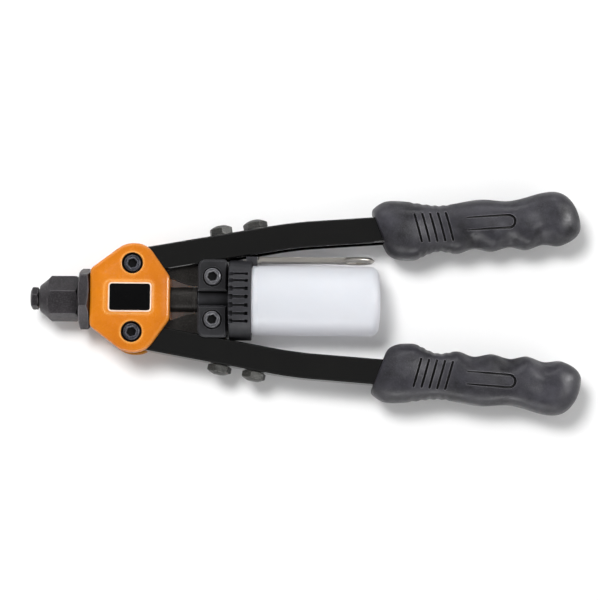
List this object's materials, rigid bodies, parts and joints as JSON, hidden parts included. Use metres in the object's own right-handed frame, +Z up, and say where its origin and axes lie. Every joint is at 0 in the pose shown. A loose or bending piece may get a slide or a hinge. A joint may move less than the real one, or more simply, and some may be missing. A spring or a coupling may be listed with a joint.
{
  "type": "hand riveter",
  "caption": "Long-arm hand riveter: two grips and channel arms work a spindle with gripping jaws through links; a plastic bottle collects the spent mandrels.",
  "frame": {"origin": "under the middle of the whole tool, level with the lowest line of the bottle collar", "axes": "+X from the nose to the grips along the spindle, +Y towards the upper arm, +Z up; arms closed"},
  "size_m": [0.3348, 0.1368, 0.049],
  "materials": {
    "orange_coat": "satin powder coat",
    "label_black": "gloss",
    "dark_steel": "phosphated, satin",
    "bright_steel": "machined",
    "black_paint": "gloss",
    "black_casting": "satin",
    "screw_black": "black oxide",
    "grip_rubber": "matte",
    "collar_plastic": "matte",
    "bottle_plastic": "translucent white",
    "spring_steel": "satin"
  },
  "bodies": {
    "head": {"head_housing": "orange_coat", "label_plate": "label_black", "nose_housing": "dark_steel", "lock_nut": "dark_steel", "nosepiece": "dark_steel", "upper_pivot_screw": "screw_black", "upper_pivot_nut": "dark_steel", "lower_pivot_screw": "screw_black", "lower_pivot_nut": "dark_steel"},
    "upper_arm": {"upper_root_lever": "dark_steel", "upper_link_pin": "bright_steel", "upper_arm_channel": "black_paint", "upper_arm_bolt_1": "dark_steel", "upper_arm_bolt_2": "dark_steel", "upper_grip": "grip_rubber"},
    "lower_arm": {"lower_root_lever": "dark_steel", "lower_link_pin": "bright_steel", "lower_arm_channel": "black_paint", "lower_arm_bolt_1": "dark_steel", "lower_arm_bolt_2": "dark_steel", "lower_grip": "grip_rubber"},
    "spindle_group": {"spindle": "dark_steel", "jaw_case": "bright_steel", "jaw_case_ring": "bright_steel", "jaw_spring": "spring_steel", "crosshead": "black_casting", "upper_link_screw": "screw_black", "lower_link_screw": "screw_black", "spindle_nut": "bright_steel", "bottle_collar": "collar_plastic"},
    "upper_link": {"upper_link": "dark_steel"},
    "lower_link": {"lower_link": "dark_steel"},
    "jaw_pusher": {"jaw_pusher": "bright_steel"},
    "jaw_1": {"jaw_1": "bright_steel"},
    "jaw_2": {"jaw_2": "bright_steel"},
    "jaw_3": {"jaw_3": "bright_steel"},
    "bottle": {"bottle": "bottle_plastic"},
    "wrench": {"nosepiece_wrench": "bright_steel"}
  },
  "joints": [
    {"name": "upper_arm_hinge", "type": "hinge", "parent": "head", "child": "upper_arm", "pos_m": [-0.10523, 0.0208, 0.0245], "axis": [0, 0, 1], "range_deg": [0, 55]},
    {"name": "lower_arm_hinge", "type": "hinge", "parent": "head", "child": "lower_arm", "pos_m": [-0.10523, -0.0208, 0.0245], "axis": [0, 0, 1], "range_deg": [-55, 0]},
    {"name": "spindle_slide", "type": "slide", "parent": "head", "child": "spindle_group", "axis": [-1, 0, 0], "range_m": [0, 0.014]},
    {"name": "upper_link_hinge", "type": "hinge", "parent": "spindle_group", "child": "upper_link", "pos_m": [-0.05673, 0.013, 0.0245], "axis": [0, 0, 1], "range_deg": [-25.8, 0]},
    {"name": "lower_link_hinge", "type": "hinge", "parent": "spindle_group", "child": "lower_link", "pos_m": [-0.05673, -0.013, 0.0245], "axis": [0, 0, 1], "range_deg": [0, 25.8]},
    {"name": "jaw_pusher_slide", "type": "slide", "parent": "spindle_group", "child": "jaw_pusher", "axis": [1, 0, 0], "range_m": [0, 0.0025], "stiffness_N_per_m": 600, "springref_m": -0.004, "deforming": ["jaw_spring"]},
    {"name": "jaw_1_slide", "type": "slide", "parent": "spindle_group", "child": "jaw_1", "axis": [0.9848, 0.1736, 0], "range_m": [0, 0.00254]},
    {"name": "jaw_2_slide", "type": "slide", "parent": "spindle_group", "child": "jaw_2", "axis": [0.9848, -0.0868, 0.1504], "range_m": [0, 0.00254]},
    {"name": "jaw_3_slide", "type": "slide", "parent": "spindle_group", "child": "jaw_3", "axis": [0.9848, -0.0868, -0.1504], "range_m": [0, 0.00254]},
    {"name": "bottle_slide", "type": "slide", "parent": "spindle_group", "child": "bottle", "axis": [1, 0, 0], "range_m": [0, 0.1]},
    {"name": "wrench_slide", "type": "slide", "parent": "spindle_group", "child": "wrench", "axis": [1, 0, 0], "range_m": [0, 0.012]}
  ],
  "couplings": [
    {"joint": "lower_arm_hinge", "follows": "upper_arm_hinge", "ratio": -1},
    {"joint": "spindle_slide", "follows": "upper_arm_hinge", "m_per_rad": 0.014584},
    {"joint": "upper_link_hinge", "follows": "upper_arm_hinge", "ratio": -0.46818},
    {"joint": "lower_link_hinge", "follows": "upper_arm_hinge", "ratio": 0.46818},
    {"joint": "jaw_1_slide", "follows": "jaw_pusher_slide", "ratio": 1.0154},
    {"joint": "jaw_2_slide", "follows": "jaw_pusher_slide", "ratio": 1.0154},
    {"joint": "jaw_3_slide", "follows": "jaw_pusher_slide", "ratio": 1.0154}
  ]
}
